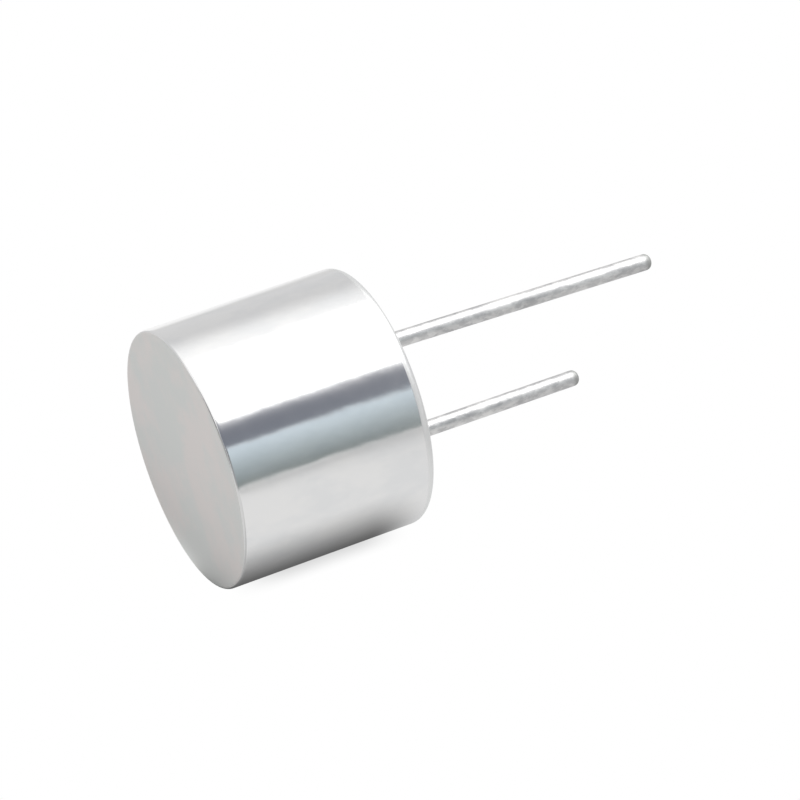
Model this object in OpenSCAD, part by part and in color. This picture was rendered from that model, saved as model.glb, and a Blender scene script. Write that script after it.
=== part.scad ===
// Closed-can ultrasonic sensor, 16 mm size, for through-hole boards.
// The can stands on its flat radiating face at z = 0 and the two terminals point up, along +Z.
// All sizes are in millimetres.

/* [Can] */
// Outside diameter of the can
can_d = 16; // [13:0.1:20]
// Height of the can, from its front face to its rear rim
can_h = 12.5; // [10:0.1:16]
// Thickness of the diaphragm that closes the front
diaphragm_t = 0.6; // [0.4:0.05:1]
// Wall round the front chamber, which sets how wide the diaphragm is
front_wall = 2.2; // [1.8:0.05:3]
// Wall round the rear chamber
rear_wall = 1.2; // [0.9:0.05:1.5]
// Depth of the front chamber behind the diaphragm
front_chamber = 4.4; // [3.6:0.1:5.4]
// Rounding of the front edge
front_round = 0.2; // [0.1:0.05:0.4]
// Rounding of the rear rim
rim_round = 0.55; // [0.3:0.05:0.65]
// Chamfer inside the rear mouth
mouth_chamfer = 0.2; // [0.1:0.05:0.3]
// Fillet in the corner between the diaphragm and the wall
chamber_fillet = 0.3; // [0.1:0.05:0.6]

/* [Ceramic disc] */
// Diameter of the piezo disc
disc_d = 7.5; // [6:0.1:9]
// Thickness of the piezo disc
disc_t = 0.5; // [0.3:0.05:0.8]
// Chamfer on the rim of the disc
disc_chamfer = 0.05; // [0.02:0.01:0.1]
// Thickness of the adhesive under the disc
bond_t = 0.08; // [0.04:0.01:0.12]
// How far the adhesive squeezes out past the disc
bond_squeeze = 0.15; // [0.05:0.05:0.4]

/* [Damping] */
// Thickness of the felt pad behind the disc
pad_t = 2.6; // [2:0.1:3.2]
// Slip gap between the pad and the chamber wall
pad_gap = 0.1; // [0.05:0.05:0.3]

/* [Board] */
// Thickness of the terminal board
board_t = 1; // [0.8:0.1:1.2]
// Gap between the board's edge and the can
board_gap = 0.1; // [0.05:0.05:0.2]
// Clearance of each terminal in its hole in the board
hole_gap = 0.05; // [0.02:0.01:0.1]

/* [Terminals] */
// Diameter of the terminals
terminal_d = 1; // [0.8:0.05:1.2]
// Distance from the rear chamber's wall to the centre of each terminal
terminal_edge = 1.8; // [1.6:0.05:2.4]
// Length of the long terminal beyond the rear rim
long_reach = 18; // [8:0.5:25]
// Length of the short terminal beyond the rear rim
short_reach = 14.5; // [6:0.5:22]
// Height of the rounded tip
tip_round = 0.4; // [0.2:0.05:0.45]
// Diameter of the collar that seats on the board
collar_d = 1.6; // [1.4:0.05:2]
// Height of the collar
collar_h = 1.2; // [0.9:0.05:1.5]
// How far the collar stands out of the resin
collar_proud = 0.1; // [0.05:0.05:0.2]
// How far the stub stands through the board
stub_l = 0.6; // [0.4:0.05:0.8]
// How far the long terminal is bent over at its collar, in degrees
long_lean = 1.6; // [0:0.1:4]
// How far the short terminal is bent over at its collar, in degrees
short_lean = 0.4; // [0:0.1:4]
// Direction that both terminals lean in, in degrees from +X
lean_toward = 124; // [0:1:360]
// How far both leads are set over in that direction where they leave their collars
lead_offset = 0.19; // [0:0.01:0.25]

/* [Rear seal] */
// Depth of the resin's surface below the rear rim
seal_recess = 0.5; // [0.4:0.05:0.8]
// Height that the resin climbs up the can's wall
seal_climb = 0.2; // [0.05:0.05:0.25]

/* [Leads and solder] */
// Diameter of the lead wires
wire_d = 0.4; // [0.3:0.05:0.5]
// Bend radius of the lead wires, at the middle of the wire
wire_bend = 0.5; // [0.4:0.05:0.6]
// Distance from the disc's centre to the signal lead
signal_x = 1.5; // [0.5:0.1:2.4]
// Depth of the leads' level run in front of the board
run_drop = 0.35; // [0.3:0.05:0.4]
// Base radius of the solder joint on the disc
disc_joint_r = 0.8; // [0.6:0.05:1]
// Height of the solder joint on the disc
disc_joint_h = 0.55; // [0.4:0.05:0.8]
// Base radius of the solder joints on the board
board_joint_r = 1.15; // [1:0.05:1.3]
// Height of the solder joints on the board
board_joint_h = 0.9; // [0.8:0.05:1.1]
// Height of the conductive joint on the can's ledge
ledge_joint_h = 0.45; // [0.3:0.05:0.6]
// Margin between the conductive joint and each edge of the ledge
ledge_margin = 0.05; // [0.03:0.01:0.1]
// How far a lead stops short of the face that its joint sits on
wire_standoff = 0.1; // [0.05:0.05:0.2]

/* [Fits] */
// Gap round each piece that is bedded in filler, resin or solder
bed_gap = 0.02; // [0.01:0.01:0.05]

/* [Hidden] */
$fn = 96;
// how far a cutting shape runs past the face that it opens
over = 0.5;

can_r = can_d / 2;
front_bore_r = can_r - front_wall;
rear_bore_r = can_r - rear_wall;
ledge_z = diaphragm_t + front_chamber;
ledge_w = rear_bore_r - front_bore_r;

disc_z = diaphragm_t + bond_t;
disc_rear_z = disc_z + disc_t;
pad_rear_z = disc_rear_z + pad_t;

seal_z = can_h - seal_recess;
collar_top_z = seal_z + collar_proud;
board_rear_z = collar_top_z - collar_h;
board_front_z = board_rear_z - board_t;

terminal_r = terminal_d / 2;
terminal_x = rear_bore_r - terminal_edge;
// how deep the leaning part starts inside its collar
lead_root = 0.3;

wire_r = wire_d / 2;
run_z = board_front_z - run_drop;
ledge_x = (front_bore_r + rear_bore_r) / 2;
ledge_joint_r = ledge_w / 2 - ledge_margin;

// ---- outlines and shapes that several pieces share ----

// What a round of radius r takes off a corner that points to +X +Y; the round's centre is at the origin.
module corner_waste(r) {
  difference() {
    square(r + over);
    circle(r);
  }
}

// A spherical cap that sits on z = 0.
module cap(base_r, height) {
  ball_r = (base_r * base_r + height * height) / (2 * height);
  rotate_extrude()
    intersection() {
      square([base_r, height]);
      translate([0, height - ball_r]) circle(ball_r);
    }
}

// A round rod that stands on z = 0 and ends in a shallow dome.
module domed_rod(r, length, dome) {
  ball_r = (r * r + dome * dome) / (2 * dome);
  rotate_extrude() {
    square([r, length - dome]);
    intersection() {
      translate([0, length - dome]) square([r, dome]);
      translate([0, length - ball_r]) circle(ball_r);
    }
  }
}

// A wire that rises from (x_from, z_from), bends through a quarter turn and runs level to x_to at z_to.
module bent_wire(x_from, z_from, x_to, z_to, r) {
  way = sign(x_to - x_from);
  translate([x_from, 0, z_from]) cylinder(r = r, h = z_to - wire_bend - z_from);
  translate([x_from + way * wire_bend, 0, z_to - wire_bend])
    mirror([way > 0 ? 1 : 0, 0, 0])
      rotate([90, 0, 0])
        rotate_extrude(angle = 90) translate([wire_bend, 0]) circle(r);
  translate([x_from + way * wire_bend, 0, z_to])
    rotate([0, way * 90, 0])
      cylinder(r = r, h = abs(x_to - x_from) - wire_bend);
}

// ---- wires, terminals and joints, each at its place; grow widens one into its bed ----

module signal_wire(grow = 0) {
  bent_wire(signal_x, disc_rear_z + wire_standoff - grow, terminal_x - terminal_r - bed_gap + grow, run_z,
            wire_r + grow);
}

module ground_wire(grow = 0) {
  bent_wire(-ledge_x, ledge_z + wire_standoff - grow, -terminal_x - terminal_r - bed_gap + grow, run_z,
            wire_r + grow);
}

module disc_joint(grow = 0) {
  translate([signal_x, 0, disc_rear_z]) cap(disc_joint_r + grow, disc_joint_h + grow);
}

module ledge_joint(grow = 0) {
  translate([-ledge_x, 0, ledge_z]) cap(ledge_joint_r + grow, ledge_joint_h + grow);
}

// side is 1 for the long terminal and -1 for the short one
module board_joint(side, grow = 0) {
  translate([side * terminal_x, 0, board_front_z])
    mirror([0, 0, 1]) cap(board_joint_r + grow, board_joint_h + grow);
}

module terminal_stub(side, grow = 0) {
  translate([side * terminal_x, 0, board_front_z - stub_l - grow])
    cylinder(r = terminal_r + grow, h = board_t + stub_l + grow);
}

module terminal_collar(side, grow = 0) {
  translate([side * terminal_x, 0, board_rear_z]) cylinder(d = collar_d + 2 * grow, h = collar_h);
}

module terminal(side, reach, lean) {
  terminal_stub(side);
  terminal_collar(side);
  translate([side * terminal_x, 0, collar_top_z])
    rotate([0, 0, lean_toward]) translate([lead_offset, 0, 0]) rotate([0, lean, 0])
      translate([0, 0, -lead_root])
        domed_rod(terminal_r, lead_root + can_h - collar_top_z + reach, tip_round);
}

// ---- nodes ----

// One turned cup: thin diaphragm in front, thick wall round the front chamber, thin wall round the rear one.
module housing() {
  color("silver")
    rotate_extrude()
      difference() {
        square([can_r, can_h]);
        translate([can_r - front_round, front_round]) mirror([0, 1]) corner_waste(front_round);
        translate([can_r - rim_round, can_h - rim_round]) corner_waste(rim_round);
        front_chamber_outline();
        translate([0, ledge_z]) square([rear_bore_r, can_h - ledge_z + over]);
        mouth_outline();
      }
}

module front_chamber_outline() {
  difference() {
    translate([0, diaphragm_t]) square([front_bore_r, front_chamber + over]);
    translate([front_bore_r - chamber_fillet, diaphragm_t + chamber_fillet])
      mirror([0, 1]) corner_waste(chamber_fillet);
  }
}

module mouth_outline() {
  polygon([
    [0, can_h - mouth_chamfer - rear_bore_r],
    [rear_bore_r + mouth_chamfer + over, can_h + over],
    [0, can_h + over]
  ]);
}

module disc_bond() {
  color("goldenrod")
    translate([0, 0, diaphragm_t]) cylinder(d = disc_d + 2 * bond_squeeze, h = bond_t);
}

module piezo_disc() {
  color("khaki")
    translate([0, 0, disc_z])
      rotate_extrude()
        polygon([
          [0, 0],
          [disc_d / 2 - disc_chamfer, 0],
          [disc_d / 2, disc_chamfer],
          [disc_d / 2, disc_t - disc_chamfer],
          [disc_d / 2 - disc_chamfer, disc_t],
          [0, disc_t]
        ]);
}

module disc_solder() {
  color("lightgray")
    difference() {
      disc_joint();
      signal_wire(bed_gap);
    }
}

// Felt disc that rests on the ceramic, with a pocket for the solder and a slit for the lead.
module absorber_pad() {
  color("dimgray")
    difference() {
      translate([0, 0, disc_rear_z]) cylinder(r = front_bore_r - pad_gap, h = pad_t);
      translate([signal_x, 0, disc_rear_z - over])
        cylinder(r = disc_joint_r + pad_gap, h = over + disc_joint_h + pad_gap);
      signal_wire(pad_gap);
    }
}

module signal_lead() {
  color("peru") signal_wire();
}

module ground_lead() {
  color("peru") ground_wire();
}

module ground_contact() {
  color("darkgray")
    difference() {
      ledge_joint();
      ground_wire(bed_gap);
    }
}

// Soft silicone that fills the can from the pad to the board.
module silicone_fill() {
  color("whitesmoke")
    difference() {
      union() {
        translate([0, 0, pad_rear_z]) cylinder(r = front_bore_r - bed_gap, h = board_front_z - pad_rear_z);
        translate([0, 0, ledge_z]) cylinder(r = rear_bore_r - bed_gap, h = board_front_z - ledge_z);
      }
      signal_wire(bed_gap);
      ground_wire(bed_gap);
      ledge_joint(bed_gap);
      for (side = [-1, 1]) board_joint(side, bed_gap);
    }
}

module terminal_board() {
  color("darkgreen")
    difference() {
      translate([0, 0, board_front_z]) cylinder(r = rear_bore_r - board_gap, h = board_t);
      for (side = [-1, 1])
        translate([side * terminal_x, 0, board_front_z - over])
          cylinder(r = terminal_r + hole_gap, h = board_t + 2 * over);
    }
}

module long_terminal() {
  color("gainsboro") terminal(1, long_reach, long_lean);
}

module short_terminal() {
  color("gainsboro") terminal(-1, short_reach, short_lean);
}

module long_terminal_solder() {
  color("lightgray")
    difference() {
      board_joint(1);
      terminal_stub(1, bed_gap);
      signal_wire(bed_gap);
    }
}

module short_terminal_solder() {
  color("lightgray")
    difference() {
      board_joint(-1);
      terminal_stub(-1, bed_gap);
      ground_wire(bed_gap);
    }
}

// Potting resin over the board, level with the collars and drawn up a little at the can's wall.
module rear_seal() {
  seal_r = rear_bore_r - bed_gap;
  color("dimgray")
    difference() {
      translate([0, 0, board_rear_z])
        rotate_extrude()
          difference() {
            square([seal_r, seal_z - board_rear_z + seal_climb]);
            translate([-over, seal_z - board_rear_z]) square([seal_r - seal_climb + over, seal_climb + over]);
            translate([seal_r - seal_climb, seal_z - board_rear_z + seal_climb]) circle(seal_climb);
          }
      for (side = [-1, 1]) terminal_collar(side, bed_gap);
    }
}

housing();
disc_bond();
piezo_disc();
disc_solder();
absorber_pad();
signal_lead();
ground_lead();
ground_contact();
silicone_fill();
terminal_board();
long_terminal();
short_terminal();
long_terminal_solder();
short_terminal_solder();
rear_seal();
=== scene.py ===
"""Ultrasonic sensor: a closed aluminium can, potted behind, with two tinned terminals.

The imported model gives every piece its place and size. This script gives the pieces their
finishes, turns the can and the terminals afresh in finer detail, and sets up the studio.
"""

import math

import bpy
from mathutils import Matrix, Vector


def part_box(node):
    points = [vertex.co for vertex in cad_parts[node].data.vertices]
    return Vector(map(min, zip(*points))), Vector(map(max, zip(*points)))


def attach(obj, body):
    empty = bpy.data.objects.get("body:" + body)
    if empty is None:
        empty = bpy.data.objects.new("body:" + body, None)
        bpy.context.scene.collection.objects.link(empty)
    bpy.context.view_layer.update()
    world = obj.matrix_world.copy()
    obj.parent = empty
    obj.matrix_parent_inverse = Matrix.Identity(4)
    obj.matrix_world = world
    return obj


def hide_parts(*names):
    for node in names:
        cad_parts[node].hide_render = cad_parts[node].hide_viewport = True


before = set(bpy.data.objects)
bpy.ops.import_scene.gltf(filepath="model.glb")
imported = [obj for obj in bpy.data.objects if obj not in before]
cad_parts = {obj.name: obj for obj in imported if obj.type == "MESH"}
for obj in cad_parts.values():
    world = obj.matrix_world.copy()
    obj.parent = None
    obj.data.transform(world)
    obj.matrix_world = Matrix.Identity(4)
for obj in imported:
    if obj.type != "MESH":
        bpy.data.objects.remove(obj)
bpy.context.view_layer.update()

MM = 0.001


# ---------------------------------------------------------------- sizes

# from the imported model; the can stands on its radiating face, at height 0
CAN_LOW, CAN_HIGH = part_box("housing")
CAN_RADIUS = (CAN_HIGH.x - CAN_LOW.x) / 2
CAN_HEIGHT = CAN_HIGH.z
LONG_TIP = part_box("long_terminal")[1].z
SHORT_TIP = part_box("short_terminal")[1].z
BOARD_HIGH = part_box("terminal_board")[1]
BOARD_RADIUS, BOARD_REAR = BOARD_HIGH.x, BOARD_HIGH.z
DISC_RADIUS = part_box("piezo_disc")[1].x

# outlines of the pieces that are turned afresh
CAN_SIZES = {
    "Radius": CAN_RADIUS,
    "Height": CAN_HEIGHT,
    "Front edge round": 0.20 * MM,
    "Rear rim round": 0.55 * MM,
    "Mouth chamfer": 0.20 * MM,
    "Rear bore radius": 6.80 * MM,
    "Front bore radius": 5.80 * MM,
    "Ledge height": 5.00 * MM,
    "Diaphragm": 0.60 * MM,
    "Chamber fillet": 0.30 * MM,
}
TERMINAL_SIZES = {
    "Radius": 0.50 * MM,
    "Stub end height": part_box("long_terminal")[0].z,
    "Board rear height": BOARD_REAR,
    "Collar radius": 0.80 * MM,
    "Collar top height": BOARD_REAR + 1.20 * MM,
    "Tip round": 0.40 * MM,
    "Root": 0.30 * MM,  # how deep the leaning lead starts inside its collar
    "Set over": 0.19 * MM,
    "Lean towards": math.radians(124.0),
}
# what differs from one terminal to the other
TERMINALS = {
    "long_terminal": {"Foot": 5.0 * MM, "Top height": CAN_HEIGHT + 18.0 * MM, "Lean": math.radians(1.6)},
    "short_terminal": {"Foot": -5.0 * MM, "Top height": CAN_HEIGHT + 14.5 * MM, "Lean": math.radians(0.4)},
}


# ---------------------------------------------------------------- node trees

def rgba(colour):
    """A colour as four numbers; a socket stays a socket."""
    return colour if isinstance(colour, bpy.types.NodeSocket) else (*colour, 1.0)


class Nodes:
    """Adds nodes to one tree. An input is given a number, a colour or another node's output."""

    def __init__(self, tree):
        self.tree = tree
        tree.nodes.clear()

    @staticmethod
    def socket(sockets, key):
        """The socket with that identifier, name or index."""
        if isinstance(key, int):
            return sockets[key]
        return next((s for s in sockets if s.identifier == key), None) or sockets[key]

    def add(self, kind, inputs=(), output=0, **settings):
        """A node of that kind, by one of its outputs."""
        node = self.tree.nodes.new(kind)
        for name, value in settings.items():
            setattr(node, name, value)
        for key, value in dict(inputs).items():
            self.give(self.socket(node.inputs, key), value)
        return self.socket(node.outputs, output) if node.outputs else None

    def give(self, socket, value):
        """Links the input where the value is another node's output, and else sets it."""
        if isinstance(value, bpy.types.NodeSocket):
            self.tree.links.new(value, socket)
        else:
            socket.default_value = value

    def maths(self, operation, a, b):
        """The result of that operation on two numbers."""
        return self.add("ShaderNodeMath", {0: a, 1: b}, operation=operation)

    def fade(self, value, start, end, at_start=0.0, at_end=1.0):
        """Goes smoothly from at_start to at_end as the value goes from start to end."""
        return self.add(
            "ShaderNodeMapRange",
            {"Value": value, "From Min": start, "From Max": end, "To Min": at_start, "To Max": at_end},
            interpolation_type="SMOOTHSTEP",
        )

    def mix(self, factor, a, b):
        """A number between a and b."""
        return self.add(
            "ShaderNodeMix", {"Factor_Float": factor, "A_Float": a, "B_Float": b}, "Result_Float"
        )

    def blend(self, factor, a, b):
        """A colour between a and b."""
        return self.add(
            "ShaderNodeMix",
            {"Factor_Float": factor, "A_Color": rgba(a), "B_Color": rgba(b)},
            "Result_Color",
            data_type="RGBA",
        )

    def point(self):
        """The place on the piece, in metres."""
        return self.add("ShaderNodeTexCoord", output="Object")

    def along(self, axis, point):
        """How far out the point lies along the axis X, Y or Z."""
        return self.add("ShaderNodeSeparateXYZ", {0: point}, axis)

    def radius(self, point):
        """How far the point lies from the sensor's axis."""
        level = self.stretched(point, (1.0, 1.0, 0.0))
        return self.add("ShaderNodeVectorMath", {0: level}, "Value", operation="LENGTH")

    def stretched(self, vector, scale):
        """The vector with each axis multiplied, so that a pattern on it is drawn out."""
        return self.add("ShaderNodeVectorMath", {0: vector, 1: scale}, operation="MULTIPLY")

    def noise(self, vector, lumps, detail, roughness):
        """Noise from 0 to 1 over the vector, with that many lumps to the metre."""
        return self.add(
            "ShaderNodeTexNoise",
            {"Vector": vector, "Scale": lumps, "Detail": detail, "Roughness": roughness},
        )

    def cells(self, vector, lumps, output):
        """Cells over the vector, that many to the metre: Distance from the middle, or a Color each."""
        return self.add("ShaderNodeTexVoronoi", {"Vector": vector, "Scale": lumps}, output)

    def bump(self, pattern, height, normal=None):
        """Raises the surface by the pattern times the height, on top of an earlier bump if given."""
        inputs = {"Height": pattern, "Distance": height}
        if normal is not None:
            inputs["Normal"] = normal
        return self.add("ShaderNodeBump", inputs)

    def principled(self, **inputs):
        """The surface, shown by the material. An input's name has _ for a space."""
        surface = self.add(
            "ShaderNodeBsdfPrincipled", {name.replace("_", " "): v for name, v in inputs.items()}
        )
        self.add("ShaderNodeOutputMaterial", {"Surface": surface})


def new_material(name):
    """An empty material and the nodes that it gets."""
    material = bpy.data.materials.new(name)
    material.use_nodes = True
    return material, Nodes(material.node_tree)


# ---------------------------------------------------------------- finishes
# each one first names its colours, the heights of its bumps, and where one finish meets another

def turned_aluminium():
    """Bright turned side, matte faced front, and a satin band where the rear rim is rounded."""
    material, n = new_material("turned_aluminium")
    point = n.point()
    z, radius = n.along("Z", point), n.radius(point)
    side_dull, side_bright = (0.905, 0.91, 0.915), (0.96, 0.957, 0.952)
    face_dull, face_bright = (0.85, 0.84, 0.825), (0.90, 0.885, 0.865)
    face_warm, face_cool, cast = (0.93, 0.88, 0.86), (0.835, 0.86, 0.845), 0.7
    rim_colour, rim_rough = (0.885, 0.89, 0.885), 0.36
    swell_height, ripple_height, ring_height = 0.016 * MM, 0.007 * MM, 0.0004 * MM
    side_grain_height, face_grain_height = 0.0001 * MM, 0.0015 * MM
    face_start, face_end = 0.05 * MM, 0.015 * MM
    rim_start, rim_end = CAN_HEIGHT - 0.60 * MM, CAN_HEIGHT - 0.50 * MM

    front = n.fade(z, face_start, face_end)
    rim = n.fade(z, rim_start, rim_end)
    clouds = n.noise(point, lumps=260.0, detail=3.0, roughness=0.55)

    # slow patches of colour, stretched along the side and mottled on the face
    drawn = n.stretched(point, (1.0, 1.0, 0.6))
    patches = n.fade(n.noise(drawn, lumps=420.0, detail=4.0, roughness=0.6), 0.36, 0.64)
    mottle = n.fade(n.noise(point, lumps=150.0, detail=4.0, roughness=0.6), 0.40, 0.60)
    side_colour = n.blend(patches, side_dull, side_bright)
    face_colour = n.blend(clouds, face_dull, face_bright)
    face_colour = n.blend(cast, face_colour, n.blend(mottle, face_warm, face_cool))
    colour = n.blend(front, n.blend(rim, side_colour, rim_colour), face_colour)

    side_rough = n.mix(clouds, 0.10, 0.17)
    face_rough = n.mix(clouds, 0.40, 0.52)
    rough = n.mix(front, n.mix(rim, side_rough, rim_rough), face_rough)

    # fine rings left by the tool: along the axis on the side, outwards on the front
    up_the_side = n.add("ShaderNodeCombineXYZ", {"Z": z})
    outwards = n.add("ShaderNodeCombineXYZ", {"X": radius})
    side_rings = n.noise(up_the_side, lumps=9000.0, detail=3.0, roughness=0.6)
    face_rings = n.noise(outwards, lumps=7000.0, detail=3.0, roughness=0.6)
    rings = n.mix(front, side_rings, face_rings)
    grain = n.noise(point, lumps=6000.0, detail=3.0, roughness=0.6)

    # slow unevenness that makes the mirrored cards waver
    swell = n.noise(n.stretched(point, (1.0, 1.0, 0.7)), lumps=330.0, detail=2.0, roughness=0.5)
    ripple = n.noise(n.stretched(point, (1.0, 1.0, 0.8)), lumps=800.0, detail=2.0, roughness=0.5)
    normal = n.bump(swell, swell_height)
    normal = n.bump(ripple, n.mix(front, ripple_height, 0.0), normal)
    normal = n.bump(rings, ring_height, normal)
    normal = n.bump(grain, n.mix(front, side_grain_height, face_grain_height), normal)
    n.principled(Base_Color=colour, Metallic=1.0, Roughness=rough, Normal=normal)
    return material


def tinned_terminal():
    """Hot-tinned lead: satin, stained, with the slow waves that the tin sets in; dull at its cut tip."""
    material, n = new_material("tinned_terminal")
    point = n.point()
    x, z = n.along("X", point), n.along("Z", point)
    stained, clean, cut_colour = (0.55, 0.55, 0.555), (0.88, 0.875, 0.865), (0.46, 0.465, 0.455)
    wave_height, grain_height = 0.022 * MM, 0.0005 * MM
    cut_start, cut_end, cut_rough = 0.60 * MM, 0.30 * MM, 0.58
    midway = 1.0 * MM  # the long lead stands on the +X side and the short one on the -X side

    tip = n.fade(x, -midway, midway, SHORT_TIP, LONG_TIP)
    cut = n.fade(n.maths("SUBTRACT", tip, z), cut_start, cut_end)

    waves = n.noise(n.stretched(point, (1.0, 1.0, 0.35)), lumps=1300.0, detail=3.0, roughness=0.55)
    grain = n.noise(point, lumps=9000.0, detail=2.0, roughness=0.6)
    streaks = n.noise(n.stretched(point, (1.0, 1.0, 0.5)), lumps=700.0, detail=3.0, roughness=0.6)
    specks = n.noise(n.stretched(point, (1.0, 1.0, 0.6)), lumps=2600.0, detail=3.0, roughness=0.6)
    stain = n.mix(0.5, n.fade(streaks, 0.38, 0.62), n.fade(specks, 0.40, 0.60))

    normal = n.bump(waves, wave_height)
    normal = n.bump(grain, grain_height, normal)
    n.principled(
        Base_Color=n.blend(cut, n.blend(stain, stained, clean), cut_colour),
        Metallic=1.0,
        Roughness=n.mix(cut, n.mix(waves, 0.40, 0.50), cut_rough),
        Normal=normal,
    )
    return material


def solder():
    """Set tin solder: bright with a slightly frosted skin."""
    material, n = new_material("solder")
    smooth_tin, frosted_tin, frost_height = (0.62, 0.62, 0.61), (0.78, 0.78, 0.77), 0.004 * MM
    frost = n.noise(n.point(), lumps=9000.0, detail=3.0, roughness=0.6)
    n.principled(
        Base_Color=n.blend(frost, smooth_tin, frosted_tin),
        Metallic=1.0,
        Roughness=n.mix(frost, 0.18, 0.42),
        Normal=n.bump(frost, frost_height),
    )
    return material


def enamelled_copper():
    """Copper lead under a clear enamel."""
    material, n = new_material("enamelled_copper")
    dark_copper, pale_copper, streak_height = (0.50, 0.16, 0.07), (0.66, 0.25, 0.12), 0.002 * MM
    streaks = n.noise(n.point(), lumps=5000.0, detail=2.0, roughness=0.5)
    n.principled(
        Base_Color=n.blend(streaks, dark_copper, pale_copper),
        Metallic=0.9,
        Roughness=n.mix(streaks, 0.22, 0.36),
        Normal=n.bump(streaks, streak_height),
        Coat_Weight=0.6,
        Coat_Roughness=0.12,
    )
    return material


def silvered_ceramic():
    """Piezo disc: fired silver on both faces, bare tan ceramic round the edge."""
    material, n = new_material("silvered_ceramic")
    point = n.point()
    dark_silver, pale_silver = (0.66, 0.66, 0.64), (0.80, 0.80, 0.78)
    dark_tan, pale_tan = (0.42, 0.34, 0.24), (0.52, 0.43, 0.31)
    bare_start, bare_end = DISC_RADIUS - 0.12 * MM, DISC_RADIUS - 0.08 * MM
    screen_height = 0.003 * MM
    bare = n.fade(n.radius(point), bare_start, bare_end)
    screen = n.noise(point, lumps=11000.0, detail=2.0, roughness=0.6)
    silver = n.blend(screen, dark_silver, pale_silver)
    ceramic = n.blend(screen, dark_tan, pale_tan)
    n.principled(
        Base_Color=n.blend(bare, silver, ceramic),
        Metallic=n.mix(bare, 0.9, 0.0),
        Roughness=n.mix(bare, 0.48, 0.62),
        Normal=n.bump(screen, screen_height),
    )
    return material


def bond_adhesive():
    """Thin amber bond line."""
    material, n = new_material("bond_adhesive")
    dark_amber, pale_amber, blush_height = (0.56, 0.33, 0.10), (0.68, 0.44, 0.17), 0.004 * MM
    blush = n.noise(n.point(), lumps=2400.0, detail=2.0, roughness=0.5)
    n.principled(
        Base_Color=n.blend(blush, dark_amber, pale_amber),
        Roughness=n.mix(blush, 0.16, 0.30),
        Normal=n.bump(blush, blush_height),
    )
    return material


def conductive_adhesive():
    """Silver-filled epoxy: grey with a scatter of flakes."""
    material, n = new_material("conductive_adhesive")
    filler, flake, flake_height = (0.42, 0.42, 0.41), (0.74, 0.74, 0.72), 0.004 * MM
    flakes = n.cells(n.point(), lumps=22000.0, output="Color")
    shine = n.add("ShaderNodeSeparateColor", {0: flakes}, "Red")
    n.principled(
        Base_Color=n.blend(shine, filler, flake),
        Metallic=0.75,
        Roughness=n.mix(shine, 0.62, 0.34),
        Normal=n.bump(shine, flake_height),
    )
    return material


def felt():
    """Pale grey wool felt, a mat of short crossed fibres."""
    material, n = new_material("felt")
    point = n.point()
    dark_wool, pale_wool, mat_height = (0.40, 0.39, 0.37), (0.66, 0.65, 0.62), 0.05 * MM
    ways = ((1.0, 0.16, 0.5), (0.16, 1.0, 0.5))  # fibres run along Y, and along X
    fibres = [n.noise(n.stretched(point, way), lumps=5200.0, detail=3.0, roughness=0.65) for way in ways]
    mat = n.maths("MAXIMUM", *fibres)
    n.principled(
        Base_Color=n.blend(n.fade(mat, 0.35, 0.75), dark_wool, pale_wool),
        Roughness=0.95,
        Normal=n.bump(mat, mat_height),
        Sheen_Weight=0.4,
        Sheen_Roughness=0.5,
    )
    return material


def silicone():
    """Milky filler with a soft skin and a few trapped bubbles."""
    material, n = new_material("silicone")
    point = n.point()
    dark_milk, pale_milk, bubble_height = (0.76, 0.77, 0.76), (0.86, 0.86, 0.85), 0.02 * MM
    cloud = n.noise(point, lumps=900.0, detail=3.0, roughness=0.5)
    bubbles = n.fade(n.cells(point, lumps=1500.0, output="Distance"), 0.16, 0.06)
    n.principled(
        Base_Color=n.blend(cloud, dark_milk, pale_milk),
        Roughness=n.mix(cloud, 0.38, 0.52),
        Normal=n.bump(bubbles, bubble_height),
        Subsurface_Weight=0.15,
        Subsurface_Scale=0.4 * MM,
    )
    return material


def board_laminate():
    """Glass-epoxy board: green masked faces over the weave, bare tan laminate at the edge."""
    material, n = new_material("board_laminate")
    point = n.point()
    dark_mask, pale_mask = (0.015, 0.14, 0.06), (0.03, 0.20, 0.09)
    dark_laminate, pale_laminate = (0.50, 0.42, 0.22), (0.62, 0.54, 0.33)
    bare_start, bare_end = BOARD_RADIUS - 0.06 * MM, BOARD_RADIUS - 0.03 * MM
    weave_height = 0.006 * MM
    yarns = {"Vector": point, "Scale": 900.0, "Distortion": 0.4}
    warp, weft = (n.add("ShaderNodeTexWave", yarns, "Fac", bands_direction=way) for way in "XY")
    weave = n.maths("MAXIMUM", warp, weft)
    bare = n.fade(n.radius(point), bare_start, bare_end)
    mask = n.blend(weave, dark_mask, pale_mask)
    laminate = n.blend(weave, dark_laminate, pale_laminate)
    n.principled(
        Base_Color=n.blend(bare, mask, laminate),
        Roughness=n.mix(bare, 0.28, 0.72),
        Normal=n.bump(weave, weave_height),
    )
    return material


def potting_resin():
    """Charcoal epoxy: a satin cast skin with a faint orange peel and some pin-head dimples."""
    material, n = new_material("potting_resin")
    point = n.point()
    dark_charcoal, pale_charcoal = (0.022, 0.022, 0.024), (0.036, 0.036, 0.039)
    dust_colour = (0.075, 0.075, 0.078)
    peel_height, dimple_depth = 0.010 * MM, 0.03 * MM
    peel = n.noise(point, lumps=1900.0, detail=2.0, roughness=0.45)
    dimples = n.fade(n.cells(point, lumps=850.0, output="Distance"), 0.13, 0.05)
    dust = n.fade(n.noise(point, lumps=16000.0, detail=2.0, roughness=0.6), 0.62, 0.80)
    normal = n.bump(peel, peel_height)
    normal = n.bump(n.maths("SUBTRACT", 0.0, dimples), dimple_depth, normal)
    n.principled(
        Base_Color=n.blend(dust, n.blend(peel, dark_charcoal, pale_charcoal), dust_colour),
        Roughness=n.mix(peel, 0.30, 0.44),
        Normal=normal,
    )
    return material


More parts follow.
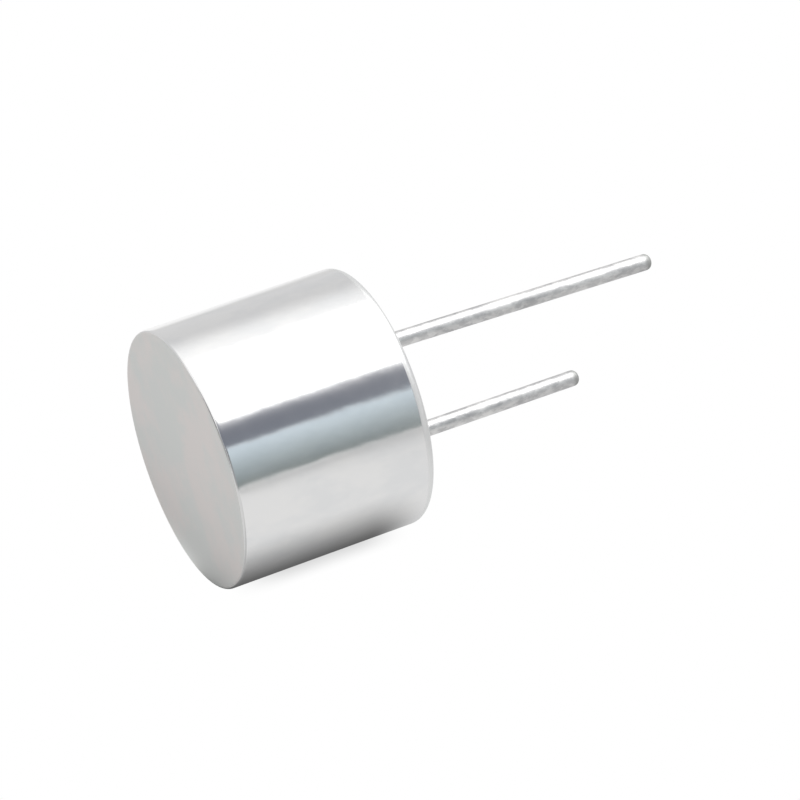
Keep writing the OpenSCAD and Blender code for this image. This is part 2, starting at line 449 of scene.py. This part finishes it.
# by the name of the slot that each one fills
FINISHES = {
    "can_aluminium": turned_aluminium(),
    "tinned_terminal": tinned_terminal(),
    "solder": solder(),
    "copper_wire": enamelled_copper(),
    "silvered_ceramic": silvered_ceramic(),
    "adhesive": bond_adhesive(),
    "conductive_adhesive": conductive_adhesive(),
    "felt": felt(),
    "silicone": silicone(),
    "board_laminate": board_laminate(),
    "potting_resin": potting_resin(),
}

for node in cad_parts.values():
    for slot in node.material_slots:
        slot.material = FINISHES[slot.material.name.split(".")[0]]


# ---------------------------------------------------------------- turned pieces

CAN_STEPS = 192  # faces round the can
TERMINAL_STEPS = 64  # faces round a terminal
ROUND_STEPS = 9  # points added on each rounded edge
EASE = 0.03 * MM  # a narrow face beside each rounded edge, so that only it takes up the turn
WELD = 0.002 * MM  # points closer than this become one
SHARPEST = math.radians(30.0)  # edges that turn by more than this stay crisp


def add_object(name, data):
    thing = bpy.data.objects.new(name, data)
    bpy.context.scene.collection.objects.link(thing)
    return thing


def by_index(n, kind, values):
    """The value that stands at the point's own place in the list."""
    switch = n.tree.nodes.new("GeometryNodeIndexSwitch")
    switch.data_type = kind
    for _ in values[2:]:  # it starts with two items
        switch.index_switch_items.new()
    n.give(switch.inputs["Index"], n.add("GeometryNodeInputIndex"))
    for socket, value in zip(switch.inputs[1:], values):
        n.give(socket, value)
    return switch.outputs[0]


def start_tree(name, sizes):
    """An empty tree that takes those sizes, and its inputs by name."""
    tree = bpy.data.node_groups.new(name, "GeometryNodeTree")
    for size in sizes:
        tree.interface.new_socket(size, in_out="INPUT", socket_type="NodeSocketFloat")
    tree.interface.new_socket("Geometry", in_out="OUTPUT", socket_type="NodeSocketGeometry")
    n = Nodes(tree)
    return tree, n, n.add("NodeGroupInput").node.outputs


def turn(n, outline, ring_radius, steps):
    """Sweeps an outline of (distance from the axis, height, rounding) round the axis."""
    # on a level ring the outline's X points outwards and its Y points down
    places = [
        n.add("ShaderNodeCombineXYZ",
              {"X": n.maths("SUBTRACT", out, ring_radius), "Y": n.maths("MULTIPLY", up, -1.0)})
        for out, up, _ in outline
    ]
    line = n.add("GeometryNodeMeshLine", {"Count": len(outline)})
    line = n.add("GeometryNodeSetPosition", {"Geometry": line, "Position": by_index(n, "VECTOR", places)})
    line = n.add("GeometryNodeMeshToCurve", {"Mesh": line})
    rounds = by_index(n, "FLOAT", [rounding for *_, rounding in outline])
    line = n.add("GeometryNodeFilletCurve", {"Curve": line, "Count": ROUND_STEPS, "Radius": rounds},
                 mode="POLY")
    ring = n.add("GeometryNodeCurvePrimitiveCircle", {"Resolution": steps, "Radius": ring_radius})
    body = n.add("GeometryNodeCurveToMesh", {"Curve": ring, "Profile Curve": line})
    body = n.add("GeometryNodeMergeByDistance", {"Geometry": body, "Distance": WELD})
    return n.add("GeometryNodeFlipFaces", {"Mesh": body})


def end_tree(n, body, material):
    """Smooth faces with crisp corners, in that material."""
    body = n.add("GeometryNodeSetShadeSmooth", {"Geometry": body, "Shade Smooth": True})
    crisp = n.maths("GREATER_THAN", n.add("GeometryNodeInputMeshEdgeAngle"), SHARPEST)
    body = n.add("GeometryNodeSetShadeSmooth",
                 {"Geometry": body, "Selection": crisp, "Shade Smooth": False}, domain="EDGE")
    body = n.add("GeometryNodeRealizeInstances", {"Geometry": body})
    body = n.add("GeometryNodeSetMaterial", {"Geometry": body, "Material": material})
    n.add("NodeGroupOutput", {"Geometry": body})


def can_tree(material):
    """One turned cup: thin diaphragm in front, thick wall, ledge, thin wall and rounded rim."""
    tree, n, size = start_tree("turned_can", CAN_SIZES)
    radius, height = size["Radius"], size["Height"]
    front, rim = size["Front edge round"], size["Rear rim round"]
    inner, core, chamfer = size["Rear bore radius"], size["Front bore radius"], size["Mouth chamfer"]
    ledge, diaphragm = size["Ledge height"], size["Diaphragm"]
    front_end, rim_end = n.maths("ADD", front, EASE), n.maths("ADD", rim, EASE)
    outline = [
        (0.0, 0.0, 0.0),
        (n.maths("SUBTRACT", radius, front_end), 0.0, 0.0),
        (radius, 0.0, front),
        (radius, front_end, 0.0),
        (radius, n.maths("SUBTRACT", height, rim_end), 0.0),
        (radius, height, rim),
        (n.maths("SUBTRACT", radius, rim_end), height, 0.0),
        (n.maths("ADD", inner, chamfer), height, 0.0),
        (inner, n.maths("SUBTRACT", height, chamfer), 0.0),
        (inner, ledge, 0.0),
        (core, ledge, 0.0),
        (core, diaphragm, size["Chamber fillet"]),
        (0.0, diaphragm, 0.0),
    ]
    end_tree(n, turn(n, outline, radius, CAN_STEPS), material)
    return tree


def terminal_tree(material):
    """A round lead with a rounded tip, leaning out of a collar that has a stub below it."""
    tree, n, size = start_tree("drawn_terminal", {**TERMINAL_SIZES, **TERMINALS["long_terminal"]})
    radius, collar, top = size["Radius"], size["Collar radius"], size["Collar top height"]
    stub_end, board, tip = size["Stub end height"], size["Board rear height"], size["Tip round"]
    seat = turn(n, [
        (0.0, stub_end, 0.0),
        (radius, stub_end, 0.0),
        (radius, board, 0.0),
        (collar, board, 0.0),
        (collar, top, 0.0),
        (0.0, top, 0.0),
    ], radius, TERMINAL_STEPS)
    seat = n.add("GeometryNodeTransform",
                 {"Geometry": seat, "Translation": n.add("ShaderNodeCombineXYZ", {"X": size["Foot"]})})

    # the lead is turned with its foot at the collar's top, then set over, leant and moved there
    start = n.maths("MULTIPLY", size["Root"], -1.0)
    reach = n.maths("SUBTRACT", size["Top height"], top)
    lead = turn(n, [
        (0.0, start, 0.0),
        (radius, start, 0.0),
        (radius, n.maths("SUBTRACT", reach, n.maths("ADD", tip, EASE)), 0.0),
        (radius, reach, tip),
        (0.0, reach, 0.0),
    ], radius, TERMINAL_STEPS)
    moves = (
        ({"Y": size["Lean"]}, {"X": size["Set over"]}),
        ({"Z": size["Lean towards"]}, {"X": size["Foot"], "Z": top}),
    )
    for turned, moved in moves:
        lead = n.add("GeometryNodeTransform", {
            "Geometry": lead,
            "Rotation": n.add("ShaderNodeCombineXYZ", turned),
            "Translation": n.add("ShaderNodeCombineXYZ", moved),
        })
    both = n.tree.nodes.new("GeometryNodeJoinGeometry")
    for part in (seat, lead):
        n.tree.links.new(part, both.inputs[0])
    end_tree(n, both.outputs[0], material)
    return tree


def add_turned(name, tree, sizes, node):
    """A plain mesh from the tree with those sizes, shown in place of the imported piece."""
    maker = add_object(name + "_maker", bpy.data.meshes.new(name + "_maker"))
    made = maker.modifiers.new("turned", "NODES")
    made.node_group = tree
    for socket in tree.interface.items_tree:
        if socket.in_out == "INPUT":
            made[socket.identifier] = sizes[socket.name]
    done = maker.evaluated_get(bpy.context.evaluated_depsgraph_get())
    mesh = bpy.data.meshes.new_from_object(done)
    mesh.name = name
    bpy.data.objects.remove(maker)
    piece = add_object(name, mesh)
    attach(piece, "root")
    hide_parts(node)


add_turned("turned_can", can_tree(FINISHES["can_aluminium"]), CAN_SIZES, "housing")
lead_tree = terminal_tree(FINISHES["tinned_terminal"])
for node, own in TERMINALS.items():
    add_turned("drawn_" + node, lead_tree, {**TERMINAL_SIZES, **own}, node)


# ---------------------------------------------------------------- camera and lights

# the camera stands in front of the radiating face and to one side, and is rolled so that the
# standing can is seen lying down
VIEW_AZIMUTH, VIEW_ELEVATION = 34.0, -20.1977
AXIS_SLOPE = 19.3774  # degrees by which the sensor's axis is seen to climb towards the right
AIM = Vector((3.281, 3.220, 12.292)) * MM
CAMERA_DISTANCE = 243.62 * MM
LENS, SENSOR_WIDTH = 187.29, 36.0  # in millimetres, as the camera takes them
NEAREST, FARTHEST = 0.01, 10.0  # what the camera sees lies between these, in metres

SKY_LEVEL = 1.0  # white, as the camera and every mirror see it
FILL_LEVEL = 0.52  # the plain light that matt surfaces take from all round
SOFTBOX_LEVEL = 1.9  # its brightness, where the white all round is 1
SOFTBOX_WIDTH, SOFTBOX_HEIGHT, SOFTBOX_DISTANCE = 0.56, 0.70, 0.50
SOFTBOX_AZIMUTH, SOFTBOX_ELEVATION = -16.0, 30.0


def around(azimuth, elevation=0.0):
    """The unit vector in that direction, in degrees; azimuth turns from +X towards +Y."""
    a, e = math.radians(azimuth), math.radians(elevation)
    return Vector((math.cos(a) * math.cos(e), math.sin(a) * math.cos(e), math.sin(e)))


def add_camera():
    back = around(VIEW_AZIMUTH, VIEW_ELEVATION)
    axis = Vector((0.0, 0.0, 1.0))
    axis = (axis - axis.dot(back) * back).normalized()
    right = Matrix.Rotation(math.radians(-AXIS_SLOPE), 3, back) @ axis
    up = back.cross(right)
    data = bpy.data.cameras.new("camera")
    data.lens, data.sensor_width = LENS, SENSOR_WIDTH
    data.clip_start, data.clip_end = NEAREST, FARTHEST
    camera = add_object("camera", data)
    turned = Matrix((right, up, back)).transposed().to_4x4()
    camera.matrix_world = Matrix.Translation(AIM + CAMERA_DISTANCE * back) @ turned
    bpy.context.scene.camera = camera


def add_world():
    """White behind everything and in every mirror, and a plain fill on what the light reaches."""
    world = bpy.data.worlds.new("studio")
    bpy.context.scene.world = world
    world.use_nodes = True
    world.cycles.sampling_method = "NONE"
    n = Nodes(world.node_tree)
    rays = n.add("ShaderNodeLightPath").node.outputs
    unscattered = n.maths("LESS_THAN", rays["Diffuse Depth"], 0.5)
    mirrored = n.maths("MAXIMUM", rays["Is Glossy Ray"], rays["Is Transmission Ray"])
    mirrored = n.maths("MULTIPLY", mirrored, unscattered)
    seen = n.maths("MAXIMUM", rays["Is Camera Ray"], mirrored)
    level = n.blend(seen, (FILL_LEVEL,) * 3, (SKY_LEVEL,) * 3)
    light = n.add("ShaderNodeBackground", {"Color": level, "Strength": 1.0})
    n.add("ShaderNodeOutputWorld", {"Surface": light})


def add_softbox():
    """One large softbox above the lying can."""
    data = bpy.data.lights.new("softbox", "AREA")
    data.shape, data.size, data.size_y = "RECTANGLE", SOFTBOX_WIDTH, SOFTBOX_HEIGHT
    data.energy = SOFTBOX_LEVEL * math.pi * SOFTBOX_WIDTH * SOFTBOX_HEIGHT
    lamp = add_object("softbox", data)
    way = around(SOFTBOX_AZIMUTH, SOFTBOX_ELEVATION)
    turned = way.to_track_quat("Z", "Y").to_matrix().to_4x4()
    lamp.matrix_world = Matrix.Translation(SOFTBOX_DISTANCE * way) @ turned
    lamp.visible_camera = False


# ---------------------------------------------------------------- floor and table

SHEET_GAP = 0.02 * MM  # between the can and the floor, and between the can and the table
FLOOR_REACH, FLOOR_FULL = 0.14, 0.35  # from its middle to its edge, and the share that is full white
FLOOR_WHITE = (0.90, 0.90, 0.90)
TABLE_REACH = 0.6  # from its middle to its edge
TABLE_AZIMUTH = 160.5  # the can's lowest line as it lies on the table

# Each fade on the table is where it starts and ends, and then, if not 0 and 1, its two values.
# Along the table the places are heights on the can. Across it they are measured from the line
# that the can rests on, towards the camera's side.

# the narrow contact shadow that the camera sees beside the can, a painted shadow: the table's dark glow
# shows faintly there
PAINTED_SHADOW_DEPTH = 0.36
CONTACT_NEAR, CONTACT_FAR = (1.0 * MM, 2.0 * MM), (4.4 * MM, 2.4 * MM)
CONTACT_REAR = (CAN_HEIGHT + 0.5 * MM, CAN_HEIGHT - 3.5 * MM)
CONTACT_FRONT = (0.5 * MM, 5.0 * MM)

# the table that the can mirrors: how bright it glows, which is painted light, and the can's shade painted
# on it; it is painted darker near the radiating face's edge in front, and lighter on the can's other side
# and far behind
BEHIND_CAN = (12.0 * MM, 45.0 * MM, 0.75, 0.56)
ADDED_FAR_BEHIND = (60.0 * MM, 140.0 * MM, 0.0, 0.36)
PAINTED_SHADE_LEVEL = 0.16
PAINTED_SHADE_ALONG = (14.0 * MM, 9.8 * MM, 0.05, 1.0)
PAINTED_LIT_CAMERA_SIDE, PAINTED_LIT_OTHER_SIDE = (3.5 * MM, 13.0 * MM), (2.8 * MM, -2.0 * MM)
TO_OTHER_SIDE, OTHER_SIDE = (-5.0 * MM, -20.0 * MM), (15.0 * MM, 45.0 * MM, 0.95, 0.66)
TO_FRONT, IN_FRONT = (0.0, -1.5 * MM), (-0.5 * MM, -7.0 * MM, 0.42, 0.65)


def add_sheet(name, centre, reach, axes):
    """A flat square sheet; the columns of axes are its two sides and the way that it faces."""
    mesh = bpy.data.meshes.new(name)
    corners = [(-reach, -reach), (reach, -reach), (reach, reach), (-reach, reach)]
    mesh.from_pydata([centre + axes @ Vector((u, v, 0.0)) for u, v in corners], [], [(0, 1, 2, 3)])
    thing = add_object(name, mesh)
    return thing


def one_sided(n, surface, shown):
    """The surface where shown is 1, and nothing at all from behind."""
    behind = n.add("ShaderNodeNewGeometry", output="Backfacing")
    solid = n.maths("MULTIPLY", shown, n.maths("SUBTRACT", 1.0, behind))
    clear = n.add("ShaderNodeBsdfTransparent")
    mixed = n.add("ShaderNodeMixShader", {0: solid, 1: clear, 2: surface})
    n.add("ShaderNodeOutputMaterial", {"Surface": mixed})


def add_floor():
    """The pale floor that the can stands on, seen from above only; it fades out all round."""
    floor = add_sheet("floor", Vector((0.0, 0.0, -SHEET_GAP)), FLOOR_REACH, Matrix.Identity(3))
    material, n = new_material("floor_white")
    white = n.add("ShaderNodeBsdfDiffuse", {"Color": rgba(FLOOR_WHITE)})
    one_sided(n, white, n.fade(n.radius(n.point()), FLOOR_REACH, FLOOR_FULL * FLOOR_REACH))
    floor.data.materials.append(material)
    floor.visible_glossy = floor.visible_diffuse = floor.visible_shadow = False


def painted_contact_shadow(n, z, beside):
    """How much of the table the camera sees there: a faint painted contact shadow beside the can."""
    strip = n.maths("MULTIPLY", n.fade(beside, *CONTACT_NEAR), n.fade(beside, *CONTACT_FAR))
    strip = n.maths("MULTIPLY", strip, n.fade(z, *CONTACT_REAR))
    strip = n.maths("MULTIPLY", strip, n.fade(z, *CONTACT_FRONT))
    return n.maths("MULTIPLY", strip, PAINTED_SHADOW_DEPTH)


def painted_table_light(n, z, beside):
    """How bright the table glows there: painted light, with the can's shade painted in."""
    # painted shade: darkest just beside the line that the can rests on, on the camera's side, fading out
    # towards the rim
    lit = n.maths("MAXIMUM", n.fade(beside, *PAINTED_LIT_CAMERA_SIDE), n.fade(beside, *PAINTED_LIT_OTHER_SIDE))
    shade = n.mix(n.fade(z, *PAINTED_SHADE_ALONG), 1.0, n.mix(lit, PAINTED_SHADE_LEVEL, 1.0))
    level = n.maths("MULTIPLY", n.fade(z, *BEHIND_CAN), shade)
    level = n.maths("ADD", level, n.fade(z, *ADDED_FAR_BEHIND))
    level = n.mix(n.fade(beside, *TO_OTHER_SIDE), level, n.fade(z, *OTHER_SIDE))
    return n.mix(n.fade(z, *TO_FRONT), level, n.fade(z, *IN_FRONT))


def add_table():
    """The white table that the can lies on, a glowing sheet with its light and shade painted on. The can
    mirrors it, and its painted shadow shows beside the can.
    """
    down, across = around(TABLE_AZIMUTH), around(TABLE_AZIMUTH - 90.0)
    axes = Matrix((across, Vector((0.0, 0.0, 1.0)), -down)).transposed()
    table = add_sheet("table", down * (CAN_RADIUS + SHEET_GAP), TABLE_REACH, axes)
    table.visible_diffuse = table.visible_shadow = False
    material, n = new_material("table_painted_glow")
    point = n.point()
    z = n.along("Z", point)
    beside = n.add("ShaderNodeVectorMath", {0: point, 1: across}, "Value", operation="DOT_PRODUCT")
    camera_ray = n.add("ShaderNodeLightPath", output="Is Camera Ray")
    shown = n.mix(camera_ray, 1.0, painted_contact_shadow(n, z, beside))
    level = painted_table_light(n, z, beside)
    # the table glows in this painted grey instead of being lit
    grey = n.add("ShaderNodeCombineColor", {"Red": level, "Green": level, "Blue": level})
    one_sided(n, n.add("ShaderNodeEmission", {"Color": grey}), shown)
    table.data.materials.append(material)


# ---------------------------------------------------------------- cards

# tall cards hung round the can for its side to mirror: name, first and last azimuth, lower and
# upper edge in mm, colour at each end, and the width in degrees over which each end fades
TALL_CARDS = (
    ("grey_card", (-124.0, -52.0), (-320, 340), (0.70, 0.70, 0.71), (0.61, 0.61, 0.61), (20.0, 28.0)),
    ("dark_card", (9.5, 39.5), (-320, 108), (0.185, 0.19, 0.225), (0.18, 0.195, 0.23), (15.0, 0.5)),
    ("blue_card", (39.5, 74.0), (-15, 108), (0.73, 0.83, 0.90), (0.185, 0.21, 0.205), (0.5, 0.5)),
    ("low_dark_card", (39.5, 100.0), (-320, -15), (0.20, 0.21, 0.22), (0.45, 0.45, 0.45), (0.5, 20.0)),
    ("high_grey_card", (-70.0, -8.0), (106, 130), (0.62, 0.62, 0.62), (0.62, 0.62, 0.62), (10.0, 45.0)),
    ("high_dark_card", (-18.0, 72.0), (108, 130), (0.45, 0.45, 0.455), (0.45, 0.45, 0.45), (70.0, 0.5)),
    ("rim_card", (-20.0, 72.0), (130, 340), (0.62, 0.62, 0.62), (0.60, 0.60, 0.60), (30.0, 0.5)),
)
CARD_DISTANCE = 240 * MM
CARD_STEPS = 24  # flat strips that make up a tall card
CARD_EASE = 0.75  # below 1, a card's colour leaves its first one sooner
# the cards hang a little askew: turned by these angles at and beyond these heights
ASKEW = ((87 * MM, -3.0), (99.5 * MM, 1.0))

# round cards, behind the terminals and in front of the radiating face: name, centre, radius,
# colour, and the width over which the edge fades
ROUND_CARDS = (
    ("rear_card", Vector((0.0, 80.0, 300.0)) * MM, 200 * MM, (0.62, 0.62, 0.63), 40 * MM),
    ("front_card", Vector((0.0, 0.0, -300.0)) * MM, 190 * MM, (0.17, 0.17, 0.175), 70 * MM),
)
ROUND_CARD_STEPS = 48


def askew(z):
    """How far a tall card is turned at that height, in degrees."""
    (low, at_low), (high, at_high) = ASKEW
    share = min(max((z - low) / (high - low), 0.0), 1.0)
    return at_low + (at_high - at_low) * share


def hang_card(name, mesh, material, n, shown, colour):
    """Shows the card in that colour, as far as shown says, to mirrors only."""
    glow = n.add("ShaderNodeEmission", {"Color": rgba(colour)})
    clear = n.add("ShaderNodeBsdfTransparent")
    n.add("ShaderNodeOutputMaterial",
          {"Surface": n.add("ShaderNodeMixShader", {0: shown, 1: clear, 2: glow})})
    mesh.materials.append(material)
    card = add_object(name, mesh)
    card.visible_camera = card.visible_diffuse = card.visible_shadow = False


def add_tall_card(name, azimuths, edges, first_colour, last_colour, fades):
    """A curved card standing round the sensor's axis."""
    first, last = azimuths
    width = last - first
    low, high = (edge * MM for edge in edges)
    rows = [low, *(z for z, _ in ASKEW if low < z < high), high]
    corners, faces, turns = [], [], []
    for column in range(CARD_STEPS + 1):
        for row, z in enumerate(rows):
            turns.append(width * column / CARD_STEPS)
            out = around(first + turns[-1] + askew(z)) * CARD_DISTANCE
            corners.append(out + Vector((0.0, 0.0, z)))
            if column and row:
                corner = len(corners) - 1
                before = corner - len(rows)
                faces.append((before - 1, before, corner, corner - 1))
    mesh = bpy.data.meshes.new(name)
    mesh.from_pydata(corners, [], faces)
    mesh.attributes.new("turned", "FLOAT", "POINT").data.foreach_set("value", turns)
    material, n = new_material(name)
    turned = n.add("ShaderNodeAttribute", output="Fac", attribute_name="turned")
    shown = n.maths("MULTIPLY", n.fade(turned, 0.0, fades[0]), n.fade(turned, width, width - fades[1]))
    share = n.maths("POWER", n.maths("DIVIDE", turned, width), CARD_EASE)
    hang_card(name, mesh, material, n, shown, n.blend(share, first_colour, last_colour))


def add_round_card(name, centre, radius, colour, fade):
    """A flat round card square to the sensor's axis; its edge fades."""
    corners = [centre + around(360.0 * i / ROUND_CARD_STEPS) * radius for i in range(ROUND_CARD_STEPS)]
    mesh = bpy.data.meshes.new(name)
    mesh.from_pydata(corners, [], [range(ROUND_CARD_STEPS)])
    material, n = new_material(name)
    out = n.add("ShaderNodeVectorMath", {0: n.point(), 1: centre}, "Value", operation="DISTANCE")
    hang_card(name, mesh, material, n, n.fade(out, radius, radius - fade), colour)


add_camera()
add_world()
add_softbox()
add_floor()
add_table()
for card in TALL_CARDS:
    add_tall_card(*card)
for card in ROUND_CARDS:
    add_round_card(*card)

bpy.context.scene.view_settings.view_transform = "Standard"
